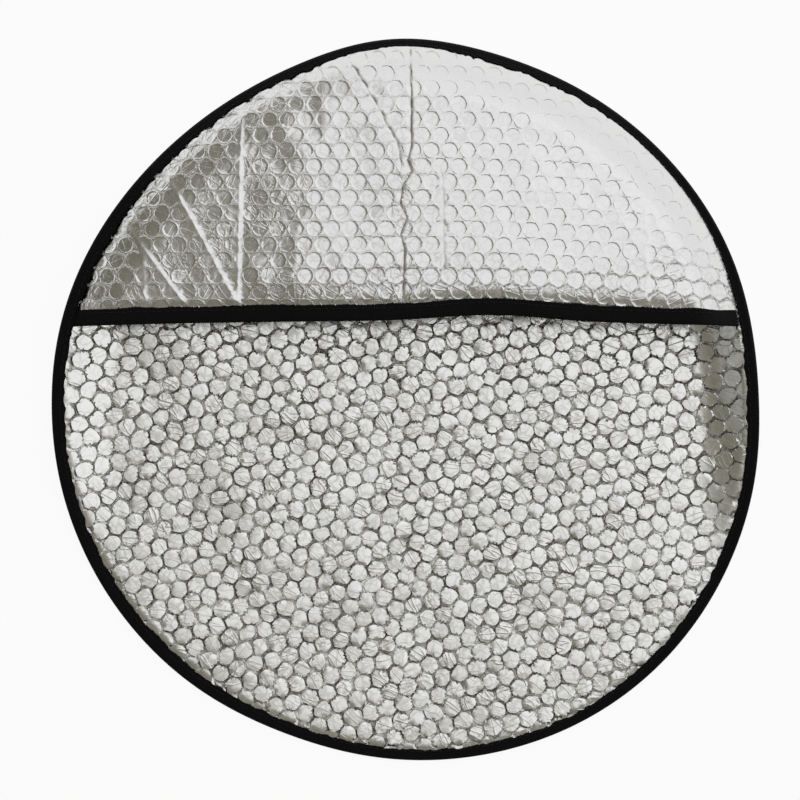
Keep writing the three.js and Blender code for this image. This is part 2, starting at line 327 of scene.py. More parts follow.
def mat_top(x, y):
    degrees, inset = angle_and_inset(x, y)
    i, across, up, out, bridge = mat_cell(x, y)
    out = out * (1 + 0.04 * rough(x, y, 2.9, 4.1))
    dome = np.maximum(smooth(out, cell_radius, bubble_radius), bridge)
    crown = 1 - 0.03 * (out / 4.4) ** 2 + (0.004 + 0.05 * mat_wrinkled[i]) * rough(x, y, 1.9, 9.3)
    bubble = dome * (bubble_height * mat_rise[i] * crown + mat_tilt[i, 0] * across + mat_tilt[i, 1] * up)
    # Beside the tape the bubbles are crushed by the seam.
    whole = smooth(freed(degrees, inset), 0.2, 2.6)
    film = crushed_thickness + (film_thickness - crushed_thickness) * whole + bubble * whole
    return mat_floor(x, y) + film + 0.25 * whole * rough(x, y, 38, 2.7)


def mat_marks(x, y):
    i, _, _, out, bridge = mat_cell(x, y)
    # Painted shade in the valleys between the bubbles: patchy, and none where the film bridges them.
    painted_shade = smooth(out, 4.4, 4.85) * (0.6 + 0.8 * rough(x, y, 7, 1.9)).clip(0.05, 1) * (1 - bridge)
    return painted_shade, 0.12 + 0.88 * mat_wrinkled[i], place_in_bubble(x, y, i, mat_middles, mat_ways)


def mat_low(x, y):
    degrees, inset = angle_and_inset(x, y)
    r = nearest_bubble(x, y, mat_middles)[0]
    whole = smooth(freed(degrees, inset), 0.8, 3.2)
    dent = 0.22 * smooth(r, 4.15, 3.6)
    return mat_floor(x, y) + (1 - whole) + whole * dent


around = np.arange(0, 360, 0.45)
mat_outline = points_around(foil_edge_radius(around), around)


def inside_round(points, margin):
    degrees = np.degrees(np.arctan2(points[:, 1], points[:, 0])) % 360
    return points[np.hypot(points[:, 0], points[:, 1]) < foil_edge_radius(degrees) - margin]


def with_seam_rows(points):
    """Points with three even rows in place of those beside the tape's inner edge, where the foil
    bends"""
    degrees, inset = angle_and_inset(points[:, 0], points[:, 1])
    inset = freed(degrees, inset)
    rows = [points[(inset < -2.3) | (inset > 2.4)]]
    for k in (-1.6, 0, 1.6):
        radius = tape_edge_radius(around) - k - np.minimum(tape_pull(around) - 0.5, 0)
        rows.append(points_around(radius, around))
    return np.concatenate(rows)


# Inside the pocket, out of sight, the bubbles have fewer points.
shown = above_mouth(mat_middles) < 16
mat_top_points = np.concatenate(
    [
        ring_points(
            mat_middles[shown], (1.7, 3.1, 4.36, 4.78), (6, 12, 16, 16), wobble=0.008, seed=5, turn=mat_turn
        ),
        ring_points(mat_middles[~shown], (4.0, 4.7), (8, 8), wobble=0.0, seed=6, turn=mat_turn),
        mat_meets,
    ]
)
mat_top_points = mat_top_points + mat_shift(*mat_top_points.T)
mat_low_points = ring_points(mat_middles, (3.6, 4.15), (8, 8), wobble=0.0, seed=7)
mat_low_points = np.concatenate([mat_low_points, mat_meets])
mat = closed_sheet(
    "mat_bubble_foil",
    mat_outline,
    inside_round(with_seam_rows(mat_top_points), 0.8),
    inside_round(with_seam_rows(mat_low_points), 0.8),
    mat_top,
    mat_low,
)
shade(mat, 24)
mark(mat, mat_marks)


# The foil's finish is a mirror-bright film that has been crumpled: short sharp wrinkles over soft
# dimples, rougher where the film has been creased, with painted shade darkening its creases, folds and
# valleys.
def part_of(tree, kind, **values):
    made = tree.nodes.new(kind)
    for key, value in values.items():
        setattr(made, key, value)
    return made


def sum_of(tree, operation, a, b):
    made = part_of(tree, "ShaderNodeMath", operation=operation)
    for socket, value in zip(made.inputs, (a, b)):
        if isinstance(value, (int, float)):
            socket.default_value = value
        else:
            tree.links.new(value, socket)
    return made.outputs[0]


def ranged(tree, value, low, high, to_low, to_high):
    made = part_of(tree, "ShaderNodeMapRange", interpolation_type="SMOOTHSTEP")
    tree.links.new(value, made.inputs[0])
    for socket, number in zip(made.inputs[1:5], (low, high, to_low, to_high)):
        socket.default_value = number
    return made.outputs[0]


def mixed(tree, factor, a, b):
    made = part_of(tree, "ShaderNodeMix", data_type="RGBA")
    for socket, value in ((made.inputs[0], factor), (made.inputs[6], a), (made.inputs[7], b)):
        if isinstance(value, tuple):
            socket.default_value = value
        else:
            tree.links.new(value, socket)
    return made.outputs[2]


crumple = bpy.data.node_groups.new("crumpled film", "ShaderNodeTree")
for name, kind, direction in (
    ("Vector", "NodeSocketVector", "INPUT"),
    ("Per metre", "NodeSocketFloat", "INPUT"),
    ("Height", "NodeSocketFloat", "OUTPUT"),
    ("Wrinkle", "NodeSocketFloat", "OUTPUT"),
):
    crumple.interface.new_socket(name=name, in_out=direction, socket_type=kind)
taken, given = part_of(crumple, "NodeGroupInput"), part_of(crumple, "NodeGroupOutput")
scaled = part_of(crumple, "ShaderNodeVectorMath", operation="SCALE")
crumple.links.new(taken.outputs[0], scaled.inputs[0])
crumple.links.new(taken.outputs[1], scaled.inputs["Scale"])
swirl = part_of(crumple, "ShaderNodeTexNoise")
swirl.inputs["Scale"].default_value = 0.9
swirl.inputs["Detail"].default_value = 2
crumple.links.new(scaled.outputs[0], swirl.inputs["Vector"])
swirled = part_of(crumple, "ShaderNodeVectorMath", operation="MULTIPLY_ADD")
swirled.inputs[1].default_value = (0.9, 0.9, 0.9)
crumple.links.new(swirl.outputs["Color"], swirled.inputs[0])
crumple.links.new(scaled.outputs[0], swirled.inputs[2])
wrinkles = []
for size, width in ((0.75, 0.16), (1.9, 0.2)):
    cells = part_of(crumple, "ShaderNodeTexVoronoi", feature="DISTANCE_TO_EDGE")
    cells.inputs["Scale"].default_value = size
    crumple.links.new(swirled.outputs[0], cells.inputs["Vector"])
    wrinkles.append(ranged(crumple, cells.outputs["Distance"], 0, width, 1, 0))
grain = part_of(crumple, "ShaderNodeTexNoise")
grain.inputs["Scale"].default_value = 1.6
grain.inputs["Detail"].default_value = 3
crumple.links.new(scaled.outputs[0], grain.inputs["Vector"])
both = sum_of(crumple, "MULTIPLY_ADD", wrinkles[1], 0.45)
crumple.links.new(wrinkles[0], both.node.inputs[2])
high = sum_of(crumple, "MULTIPLY_ADD", grain.outputs["Fac"], 1.3)
crumple.links.new(both, high.node.inputs[2])
crumple.links.new(high, given.inputs["Height"])
crumple.links.new(both, given.inputs["Wrinkle"])


# The colours of the painted shade: a duller, darker foil along the wrinkles, and a dark foil in the folds
# and valleys.
dull_shaded_foil = (0.6, 0.59, 0.56, 1)
painted_shade_foil = (0.33, 0.325, 0.305, 1)


def foil_finish(name, bright, roughness, per_metre, depth, patch, stroke):
    """A metallised film, with its wrinkles as bump and as rougher lines darkened by painted shade, in
    patches of a given size, a few straight strokes in each bubble, and painted shade in its folds and
    valleys"""
    material = bpy.data.materials.new(name)
    material.use_nodes = True
    tree = material.node_tree
    shader = tree.nodes["Principled BSDF"]
    place = part_of(tree, "ShaderNodeTexCoord")
    film = part_of(tree, "ShaderNodeGroup", node_tree=crumple)
    tree.links.new(place.outputs["Object"], film.inputs["Vector"])
    film.inputs["Per metre"].default_value = per_metre
    bump = part_of(tree, "ShaderNodeBump")
    bump.inputs["Distance"].default_value = depth
    bump.inputs["Strength"].default_value = 1
    patches = part_of(tree, "ShaderNodeTexNoise")
    patches.inputs["Scale"].default_value = patch
    patches.inputs["Detail"].default_value = 1
    tree.links.new(place.outputs["Object"], patches.inputs["Vector"])
    pressed = ranged(tree, patches.outputs["Fac"], 0.42, 0.62, 0.12, 1)
    painted_shade, creased, in_bubble = (
        part_of(tree, "ShaderNodeAttribute", attribute_name=key) for key in ("painted_shade", "creased", "bubble")
    )
    creased = creased.outputs["Fac"]
    pressed = sum_of(tree, "MULTIPLY", pressed, creased)
    stretched = part_of(tree, "ShaderNodeVectorMath", operation="MULTIPLY")
    stretched.inputs[1].default_value = (0.28, 1, 1)
    tree.links.new(in_bubble.outputs["Vector"], stretched.inputs[0])
    bent = part_of(tree, "ShaderNodeTexNoise")
    bent.inputs["Scale"].default_value = 170
    bent.inputs["Detail"].default_value = 1
    tree.links.new(stretched.outputs[0], bent.inputs["Vector"])
    off_line = sum_of(tree, "ABSOLUTE", sum_of(tree, "SUBTRACT", bent.outputs["Fac"], 0.5), 0)
    strokes = sum_of(tree, "MULTIPLY", ranged(tree, off_line, 0, 0.045, stroke, 0), creased)
    wrinkled = sum_of(tree, "MULTIPLY", film.outputs["Height"], pressed)
    tree.links.new(sum_of(tree, "ADD", wrinkled, strokes), bump.inputs["Height"])
    tree.links.new(bump.outputs["Normal"], shader.inputs["Normal"])
    # Along the wrinkles the colour goes toward the duller, darker foil: painted shade in the creases,
    # beside their rougher finish below.
    worn = sum_of(tree, "MULTIPLY", ranged(tree, film.outputs["Wrinkle"], 0.2, 1.4, 0, 0.7), pressed)
    # The folds, the valleys and the lines around the dents take the dark foil: painted shade.
    painted_shade_share = ranged(tree, painted_shade.outputs["Fac"], 0, 1, 0, 1)
    color = mixed(tree, painted_shade_share, mixed(tree, worn, bright, dull_shaded_foil), painted_shade_foil)
    tree.links.new(color, shader.inputs["Base Color"])
    rougher = ranged(tree, film.outputs["Wrinkle"], 0, 1.4, roughness, roughness + 0.14)
    tree.links.new(rougher, shader.inputs["Roughness"])
    shader.inputs["Metallic"].default_value = 1
    return material


mat_finish = foil_finish(
    "mat foil",
    bright=(0.84, 0.84, 0.825, 1),
    roughness=0.19,
    per_metre=230,
    depth=0.00005,
    patch=110,
    stroke=2.2,
)
mat.data.materials.append(mat_finish)
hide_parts("foil_mat")
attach(mat, "root")

# The pocket
# A half-moon of the same bubble film, with its smooth film outside, so each bubble shows as a
# round dent. It is sewn in around the top half of the mat and has kept a full, rounded form: it
# turns down to the seam all round, and is creased where it has been folded.
pocket_height = 36.0
pocket_crown = 8.0
pocket_over_seam = 2.5


def pocket_floor(x, y):
    """The plain dome of the pocket's inner side"""
    degrees, inset = angle_and_inset(x, y)
    start = seam_lift + pocket_over_seam + lean_drop(degrees, inset)
    top = pocket_height + pocket_crown * (1 - (x * x + y * y) / cut_radius**2)
    return start + (top - start) * turned(freed(degrees, inset))


def pocket_form(x, y):
    """How the worn pocket departs from its plain dome, apart from its sharp creases"""
    inset = angle_and_inset(x, y)[1]
    left = np.clip(-57 - x + 0.12 * (y - 100) + 3 * np.sin(y / 21) + 5 * rough(x, y, 19, 7.7), 0, None)
    sag = -0.01 * np.clip(8 - x, 0, 60) - 0.085 * np.minimum(left, 30) - 0.03 * np.clip(left - 30, 0, None)
    return turned(inset) * (sag + 0.4 * rough(x, y, 55, 1.3) + 0.16 * rough(x, y, 19, 5.8))


# Each crease: how high it stands, how far its flanks reach, and the points that it runs through.
# A raised one falls off sharply on its right and gently on its left.
middle_crease = (
    (3, 197), (3, 141), (1, 133), (3.5, 127), (-1.5, 119),
    (-3, 110), (0.5, 101), (-3, 92), (-0.5, 84), (-2, 53),
)
creases = (
    (0.6, 8, ((-91, 172), (-92, 110), (-93, 53))),
    (0.55, 8, ((-135, 130), (-112, 88), (-93, 53))),
    (0.5, 7, ((-160, 104), (-139, 76), (-122, 53))),
    (0.2, 5, ((-146, 84), (-144, 53))),
    (-0.3, 0.95, middle_crease),
    (-0.17, 0.7, ((-30, 188), (-14, 161), (-10, 152), (-5, 144), (-2, 130))),
    (-0.1, 0.7, ((20.5, 125), (21.6, 76))),
    (0.18, 4, ((132, 128), (134, 54))),
)


def to_line(x, y, line):
    """How far each point is from a line of straight runs down the foil: positive on its right"""
    least = np.full(np.shape(x), 1e9)
    for (ax, ay), (bx, by) in zip(line, line[1:]):
        t = np.clip(((x - ax) * (bx - ax) + (y - ay) * (by - ay)) / ((bx - ax) ** 2 + (by - ay) ** 2), 0, 1)
        away = np.hypot(x - ax - t * (bx - ax), y - ay - t * (by - ay))
        right = np.where((bx - ax) * (y - ay) - (by - ay) * (x - ax) >= 0, 1, -1)
        least = np.where(away < np.abs(least), away * right, least)
    return least


def crease_height(x, y):
    inset = angle_and_inset(x, y)[1]
    held = smooth(inset, 2, 12) * smooth(y - mouth_y(x), 8, 13)
    total = np.zeros(np.shape(x))
    for rise, reach, line in creases:
        d = to_line(x, y, line)
        if rise > 0:
            total += rise * np.where(d < 0, np.exp(np.minimum(d, 0) / reach), 1 - smooth(d, -0.4, 2.5))
        else:
            total += rise * (1 - np.abs(d) / reach).clip(0, 1)
    return total * held


def droop(p):
    """The rows of bubbles sink to the right"""
    return np.column_stack([p[:, 0] + 4.4, p[:, 1] - 0.0006 * np.clip(p[:, 0] - 16, 0, None) ** 1.9])


pocket_middles, pocket_meets = bubble_rows(0, droop)
rng = np.random.default_rng(12)
pocket_middles = pocket_middles + rng.uniform(-0.15, 0.15, pocket_middles.shape)
pocket_dent = rng.uniform(0.75, 1.2, len(pocket_middles))
pocket_tilt = rng.normal(0, 0.016, pocket_middles.shape)
last_row = above_mouth(pocket_middles) < 17.5
pocket_tilt[last_row, 1] += 0.075
pocket_ways = rng.uniform(-1.3, 1.3, len(pocket_middles))
right_corner = smooth(pocket_middles[:, 0], 122, 145) * smooth(pocket_middles[:, 1], 95, 72)
low_rows = above_mouth(pocket_middles) < 27
# The rows whose lower neighbours are low rows.
over_low_rows = ~last_row & (above_mouth(pocket_middles) < 27 + row_step)
pocket_dent[low_rows] *= 1.4
worn_left = smooth(pocket_middles[:, 0], -32, -70)
left_half = pocket_middles[:, 0] < 12
crumpled = np.maximum.reduce([worn_left * 0.8, low_rows * 0.4, last_row, right_corner, 0.22 * left_half])


def beside_creases(x, y):
    """Near 0 on a raised crease and 1 away from it, where the film is free to crumple"""
    near = np.min([np.abs(to_line(x, y, line)) for rise, _, line in creases if rise > 0], axis=0)
    return smooth(near, 0.9, 3.5)


def worn_at(x):
    """1 in the worn left part of the pocket, and 0 in the rest"""
    return smooth(x, -35, -70)


def faded_at(x, y):
    """How deep the dents are kept: less toward the upper right, where the foil is pulled taut"""
    return 1 - 0.45 * np.exp(-(((x - 105) / 38) ** 2) - ((y - 140) / 30) ** 2)


def pocket_top(x, y):
    degrees, inset = angle_and_inset(x, y)
    above = y - mouth_y(x)
    fall = np.clip((above - 8.6) / 6.6, 0, 1)
    inset = freed(degrees, inset)
    free = np.minimum(np.clip(inset / 8, 0, 1), 1 - (1 - fall) ** 2)
    whole = np.minimum(smooth(inset, 1.6, 3.2), smooth(above, 8.8, 10.8))
    r, i = nearest_bubble(x, y, pocket_middles)
    across, up = x - pocket_middles[i, 0], y - pocket_middles[i, 1]
    inside = smooth(r, 4.44, 4.2)
    ring = np.exp(-(((r - 4.3) / 0.17) ** 2))
    worn = worn_at(x)
    lean = pocket_tilt[i, 0] * across + pocket_tilt[i, 1] * up
    lean = lean - 0.018 * (1 - worn) * (0.35 * across + 0.94 * up)
    dent = (0.11 + 0.02 * worn) * faded_at(x, y) * pocket_dent[i]
    film = (0.02 + 0.11 * worn) * ring - dent * inside + inside * lean
    film += 0.12 * crumpled[i] * (0.7 + 0.3 * inside) * beside_creases(x, y) * rough(x, y, 1.5, 3.9)
    valley = -(0.03 + 0.1 * low_rows[i] + 0.2 * last_row[i]) * smooth(r, 4.7, 5.7)
    form = pocket_floor(x, y) + pocket_form(x, y) + crease_height(x, y)
    return form + 2 + 1.3 * free + whole * (film + valley)


def pocket_marks(x, y):
    inset = angle_and_inset(x, y)[1]
    r, i = nearest_bubble(x, y, pocket_middles)
    angle = np.arctan2(y - pocket_middles[i, 1], x - pocket_middles[i, 0])
    # Around each dent a line of painted shade is drawn: deepest on its upper right, more on the shoulder
    # and in the low rows, and even all round in the worn left part.
    toward = np.cos(angle - math.radians(62))
    worn = worn_at(x)
    on_shoulder = smooth(inset, 24, 10)
    shaded = 0.24 + 0.5 * on_shoulder + 0.3 * low_rows[i] + 0.2 * smooth(x, 30, -30)
    depth = worn * 0.3 + (1 - worn) * shaded * smooth(toward, 0, 0.8) * faded_at(x, y)
    painted_shade = np.exp(-(((r - 4.34) / 0.22) ** 2)) * depth
    # In the lowest rows the film is also pulled into straight folds between the bubbles, and painted shade
    # is laid along them.
    between = smooth(r * sixfold(angle, 0), 4.45, 4.9) * smooth(np.abs(np.sin(angle)), 0.1, 0.4)
    between = between * np.where(np.sin(angle) > 0, low_rows[i], over_low_rows[i])
    painted_shade = np.maximum(painted_shade, between * (0.2 + 0.75 * (1 - worn)))
    beside = 0.6 * np.exp(-((to_line(x, y, middle_crease) / 8) ** 2)) * smooth(y, 190, 90)
    # Painted shade along the sunken creases, broken into stretches.
    for rise, reach, line in (crease for crease in creases if crease[0] < 0):
        broken = (0.75 + 0.9 * rough(x, y, 4.5, 8.8)).clip(0.15, 1) * min(1, -rise * 5)
        painted_shade = np.maximum(painted_shade, broken * (1 - np.abs(to_line(x, y, line)) / reach).clip(0, 1))
    creased = np.maximum(0.05, (0.75 + 0.25 * last_row[i]) * crumpled[i])
    creased = np.maximum(creased, beside) * beside_creases(x, y)
    return painted_shade * smooth(inset, 0, 1.5), creased, place_in_bubble(x, y, i, pocket_middles, pocket_ways)


def pocket_low(x, y):
    inset = angle_and_inset(x, y)[1]
    free = np.minimum(smooth(inset, 0, 3), smooth(y - mouth_y(x), 9, 12))
    r = nearest_bubble(x, y, pocket_middles)[0]
    valley = 1.3 * smooth(r, 3.7, 5.0)
    return pocket_floor(x, y) + pocket_form(x, y) + 0.6 * crease_height(x, y) + 0.4 + free * (valley - 0.4)


def rim_crossing(side, radius_at, height_at):
    """Where a line of given height over x meets a radius of given size by angle"""
    x = side * 190.0
    for _ in range(8):
        y = height_at(x)
        x = side * math.sqrt(float(radius_at(math.degrees(math.atan2(y, x)) % 360)) ** 2 - y * y)
    return x


def foil_start(x):
    return float(mouth_y(x)) + 1


right_x, left_x = (rim_crossing(side, foil_edge_radius, foil_start) for side in (1, -1))
right_angle = math.degrees(math.atan2(foil_start(right_x), right_x))
left_angle = math.degrees(math.atan2(foil_start(left_x), left_x))
over_top = np.linspace(right_angle, left_angle, 330)
along_mouth = np.linspace(left_x, right_x, 252)[1:-1]
pocket_outline = np.concatenate(
    [
        points_around(foil_edge_radius(over_top), over_top),
        np.column_stack([along_mouth, mouth_y(along_mouth) + 1]),
    ]
)


def inside_pocket(points):
    points = inside_round(points, 0.8)
    return points[points[:, 1] > mouth_y(points[:, 0]) + 1.8]


along_creases = []
for rise, reach, line in creases:
    for (ax, ay), (bx, by) in zip(line, line[1:]):
        length = math.hypot(bx - ax, by - ay)
        t = (np.arange(0, length, 1.3) + 0.3)[:, None] / length
        run = np.array([[ax, ay]]) + t * np.array([[bx - ax, by - ay]])
        across = np.array([[ay - by, bx - ax]]) / length
        along_creases += [run + k * across for k in (-1.8, -0.65, 0, 0.65, 1.9)]
along_creases = np.concatenate(along_creases)


def clear_of_creases(points):
    near = np.min([np.abs(to_line(points[:, 0], points[:, 1], line)) for _, _, line in creases], axis=0)
    return points[near > 2.3]


ring_radii, ring_counts = (1.8, 3.1, 4.08, 4.27, 4.46, 4.78), (6, 11, 18, 18, 18, 18)
pocket_points = ring_points(pocket_middles, ring_radii, ring_counts, wobble=0.004, seed=15)
pocket_points = clear_of_creases(np.concatenate([pocket_points, pocket_meets]))
pocket_low_points = ring_points(pocket_middles, (3.6, 4.8), (8, 8), wobble=0.0, seed=16)
pocket = closed_sheet(
    "pocket_bubble_foil",
    pocket_outline,
    inside_pocket(with_seam_rows(np.concatenate([pocket_points, along_creases]))),
    inside_pocket(np.concatenate([pocket_low_points, pocket_meets])),
    pocket_top,
    pocket_low,
)
shade(pocket, 30)
mark(pocket, pocket_marks)

pocket_finish = foil_finish(
    "pocket foil",
    bright=(0.77, 0.77, 0.768, 1),
    roughness=0.15,
    per_metre=240,
    depth=0.00009,
    patch=60,
    stroke=1.0,
)
pocket.data.materials.append(pocket_finish)
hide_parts("foil_pocket")
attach(pocket, "root")

# The mouth's tape
# Black woven tape folded over the pocket's lower edge and sewn through, so that the foil doesn't
# tear in use. A narrow piece with soft edges, from one side of the rim's tape to the other.
mouth_tape_width = 9.0


def folded_section(thick, lift):
    """The section of a folded tape: its share of the width out from the open lips, and its height"""
    nose = thick / 2
    arc = [math.radians(a) for a in (-90, -60, -30, 0, 30, 60, 90)]
    inner = thick / 2 - tape_thickness
    lips = (0, 0.12, 0.3, 0.5, 0.68)
    points = [(f, lift * (1 - f * f)) for f in lips]
    points += [(1, nose + nose * math.sin(a), -nose * 0.8 * (1 - math.cos(a))) for a in arc]
    points += [(f, thick - 0.1 * (1 - f)) for f in lips[::-1]]
    points += [(f, thick - tape_thickness - 0.1 * (1 - f)) for f in lips]
    points += [(0.9, nose + inner * math.sin(a), -inner * 0.8 * (1 - math.cos(a))) for a in arc[::-1]]
    points += [(f, tape_thickness + lift * (1 - f * f)) for f in lips[::-1]]
    return [(p[0], p[1], p[2] if len(p) > 2 else 0) for p in points]


def lengths_along(points):
    """How far each point of a line lies from its first, along it"""
    return np.concatenate([[0], np.cumsum(np.linalg.norm(np.diff(np.array(points), axis=0), axis=1))])


def face_outwards(piece):
    bpy.ops.object.select_all(action="DESELECT")
    piece.select_set(True)
    bpy.context.view_layer.objects.active = piece
    bpy.ops.object.mode_set(mode="EDIT")
    bpy.ops.mesh.select_all(action="SELECT")
    bpy.ops.mesh.normals_make_consistent(inside=False)
    bpy.ops.object.mode_set(mode="OBJECT")


def tape_mesh(name, sections, lengths, looped):
    """A tape's skin through its sections, with the way along and around it as its UV map"""
    count = len(sections[0])
    girth = lengths_along(sections[0] + sections[0][:1])
    faces, uvs = [], []
    steps = len(sections) if looped else len(sections) - 1
    for k in range(steps):
        m = (k + 1) % len(sections)
        for i in range(count):
            j = (i + 1) % count
            faces.append((k * count + i, m * count + i, m * count + j, k * count + j))
            uvs += [(lengths[k], girth[i]), (lengths[k + 1], girth[i])]
            uvs += [(lengths[k + 1], girth[i + 1]), (lengths[k], girth[i + 1])]
    if not looped:
        last = (len(sections) - 1) * count
        faces += [tuple(range(count)), tuple(last + i for i in reversed(range(count)))]
        uvs += [(lengths[0], girth[i]) for i in range(count)]
        uvs += [(lengths[-1], girth[i]) for i in reversed(range(count))]
    piece = add_piece(name, np.array(sections).reshape(-1, 3), faces)
    layer = piece.data.uv_layers.new(name="tape")
    for loop, (u, v) in zip(layer.data, uvs):
        loop.uv = (u * 0.001, v * 0.001)
    face_outwards(piece)
    shade(piece, 60)
    return piece


def mouth_end(side, offset):
    """Where a line that runs at a distance over the mouth ends, just clear of the rim's tape"""
    return rim_crossing(
        side,
        lambda degrees: tape_edge_radius(degrees) - 0.3,
        lambda x: float(mouth_y(x)) + offset,
    )


def held_height(x, y):
    """The middle of the sewn foil in the mouth's tape"""
    x, y = np.atleast_1d(np.array(x, float)), np.atleast_1d(np.array(y, float))
    return pocket_floor(x, y) + pocket_form(x, y) + 1.2


mouth_thick = 4.0
stations = np.linspace(0, 1, 250)
section = folded_section(mouth_thick, 0.0)
columns = []
for share, up, in_from_nose in section:
    offset = mouth_tape_width * (1 - share) - in_from_nose
    start, end = mouth_end(-1, offset), mouth_end(1, offset)
    x = start + (end - start) * stations
    y = mouth_y(x) + offset + (1 - share) * 0.35 * rough(x, np.full_like(x, 3.0), 13, 8.2)
    z = held_height(x, y) - mouth_thick / 2 + up + 0.12 * rough(x, np.full_like(x, share * 9), 7, 6.4)
    columns.append(np.column_stack([x, y, z]))
mouth_sections = [[tuple(column[k]) for column in columns] for k in range(len(stations))]
mouth_tape = tape_mesh("mouth_binding", mouth_sections, list(lengths_along(columns[0])), False)

# Woven tape: ribs across it, crossed by finer threads along it, in flat near-black yarn.
weave = bpy.data.node_groups.new("ribbed weave", "ShaderNodeTree")
for name, kind, direction in (
    ("Vector", "NodeSocketVector", "INPUT"),
    ("Height", "NodeSocketFloat", "OUTPUT"),
    ("Yarn", "NodeSocketFloat", "OUTPUT"),
):
    weave.interface.new_socket(name=name, in_out=direction, socket_type=kind)
taken, given = part_of(weave, "NodeGroupInput"), part_of(weave, "NodeGroupOutput")
ribs = []
for direction, per_metre in (("X", 340), ("Y", 620)):
    rib = part_of(weave, "ShaderNodeTexWave", wave_type="BANDS", bands_direction=direction)
    rib.wave_profile = "SIN"
    rib.inputs["Scale"].default_value = per_metre
    rib.inputs["Distortion"].default_value = 0.6
    rib.inputs["Detail"].default_value = 1
    rib.inputs["Detail Scale"].default_value = 2
    weave.links.new(taken.outputs[0], rib.inputs["Vector"])
    ribs.append(rib.outputs["Fac"])
fuzz = part_of(weave, "ShaderNodeTexNoise")
fuzz.inputs["Scale"].default_value = 900
fuzz.inputs["Detail"].default_value = 3
weave.links.new(taken.outputs[0], fuzz.inputs["Vector"])
crossed = sum_of(weave, "MULTIPLY", ribs[0], ribs[1])
raised = sum_of(weave, "MULTIPLY_ADD", ribs[0], 0.6)
weave.links.new(crossed, raised.node.inputs[2])
fuzzy = sum_of(weave, "MULTIPLY_ADD", fuzz.outputs["Fac"], 0.35)
weave.links.new(raised, fuzzy.node.inputs[2])
weave.links.new(fuzzy, given.inputs["Height"])
weave.links.new(crossed, given.inputs["Yarn"])

tape_finish = bpy.data.materials.new("woven tape")
tape_finish.use_nodes = True
tree = tape_finish.node_tree
shader = tree.nodes["Principled BSDF"]
along = part_of(tree, "ShaderNodeUVMap", uv_map="tape")
cloth = part_of(tree, "ShaderNodeGroup", node_tree=weave)
tree.links.new(along.outputs[0], cloth.inputs["Vector"])
bump = part_of(tree, "ShaderNodeBump")
bump.inputs["Distance"].default_value = 0.00012
bump.inputs["Strength"].default_value = 0.8
tree.links.new(cloth.outputs["Height"], bump.inputs["Height"])
tree.links.new(bump.outputs["Normal"], shader.inputs["Normal"])
shown_yarn = ranged(tree, cloth.outputs["Yarn"], 0, 1, 0, 1)
yarn_color = mixed(tree, shown_yarn, (0.0035, 0.0035, 0.0038, 1), (0.0085, 0.0085, 0.009, 1))
tree.links.new(yarn_color, shader.inputs["Base Color"])
tree.links.new(ranged(tree, cloth.outputs["Yarn"], 0, 1, 0.9, 0.72), shader.inputs["Roughness"])
shader.inputs["Specular IOR Level"].default_value = 0.12
mouth_tape.data.materials.append(tape_finish)
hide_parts("mouth_tape")
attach(mouth_tape, "root")

# The rim's tape
# The same tape, folded around the whole outline over the raw edges of the mat and the pocket and
# sewn through all of them. It is thicker where it takes in the pocket, and leans back at the top.
bulge_step = 9.3


def rim_thickness(degrees):
    return 3.6 + 1.9 * float(smooth(above_corner(degrees), -12, -4))


sections = []
for degrees in around:
    thick = rim_thickness(degrees)
    lean = float(seam_lean(degrees))
    edge = float(tape_edge_radius(degrees))
    plan = float(outline_radius(degrees)) - edge
    s = math.radians(degrees) * cut_radius
    a = math.radians(degrees)
    here = Vector((math.cos(a) * 30, math.sin(a) * 30, 0))
    wide = 0.8 * noise.noise(here * 0.75) + float(tape_pull(degrees))
    # The bubbles under its edge push it out between them.
    bulge = abs(math.sin(math.pi * (s / bulge_step + 1.2 * noise.noise(here * 0.6 + Vector((0, 0, 9))))))
    wide += (0.6 - bulge) * (0.75 + 0.6 * noise.noise(here * 1.1 + Vector((0, 0, 5))))
    ring = []
    for share, up, in_from_nose in folded_section(thick, 0.25):
        out = plan * share + in_from_nose - (1 - share) * wide
        pucker = 0.16 * noise.noise(here * 1.3 + Vector((0, 0, share * 2))) * (1 - share)
        r = edge + out
        # Over the foils its lips follow them: the upper one the pocket, the lower one the mat.
        mat_rise_in = -float(seam_height(degrees)) * math.pi / 2 / shoulder
        pocket_rise_in = 1.05 * float(smooth(above_corner(degrees), -6, -1)) if up > thick / 2 else 0.0
        z = float(seam_height(degrees)) - out * math.tan(lean) + up + pucker
        z += max(0.5 - out, 0) * pocket_rise_in if pocket_rise_in else max(-out, 0) * mat_rise_in
        ring.append((r * math.cos(a), r * math.sin(a), max(z, 0.02)))
    sections.append(ring)
rim_lengths = [math.radians(d) * cut_radius for d in (*around, 360)]
rim_tape = tape_mesh("rim_binding", sections, rim_lengths, True)
rim_tape.data.materials.append(tape_finish)
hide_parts("rim_tape")
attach(rim_tape, "root")

# The thread
# One row of black lock stitches, 4 mm apart, holds each tape two millimetres from its open lips.
# It shows on the upper and on the under side, and each stitch bites into the tape at both ends.
thread_inset = 2.0
rim_stitches = 306
mouth_stitches = 91
stitch_share = 0.74


